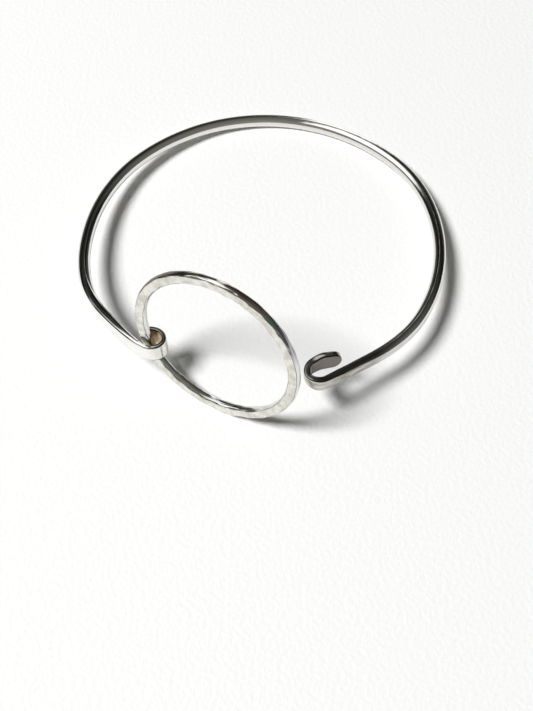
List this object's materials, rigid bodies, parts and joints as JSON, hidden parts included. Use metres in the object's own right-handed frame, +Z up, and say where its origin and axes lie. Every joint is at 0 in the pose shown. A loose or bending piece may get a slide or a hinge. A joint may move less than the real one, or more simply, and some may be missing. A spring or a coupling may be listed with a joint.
{
  "type": "wire bangle",
  "caption": "Open C of round silver wire with a forged eye and hook at its ends; a loose hammered ring hangs in the eye and closes the bangle over the hook.",
  "frame": {"origin": "on the table, under the middle of the bangle's bounding box, as the bangle lies by itself", "axes": "+Z up; +Y from the open front of the C to its back; +X from the eye to the hook"},
  "size_m": [0.065, 0.069, 0.0295],
  "materials": {
    "polished_wire": "polished sterling silver wire",
    "hammered_silver": "polished hammered sterling silver"
  },
  "bodies": {
    "band": {"wire_band": "polished_wire"},
    "ring": {"hammered_ring": "hammered_silver"}
  },
  "joints": [
    {"name": "ring_swing", "type": "hinge", "parent": "band", "child": "ring", "pos_m": [-0.01874, -0.02157, 0.00804], "axis": [-0.3537, 0.3692, 0.8594], "range_deg": [-207, 11]}
  ]
}
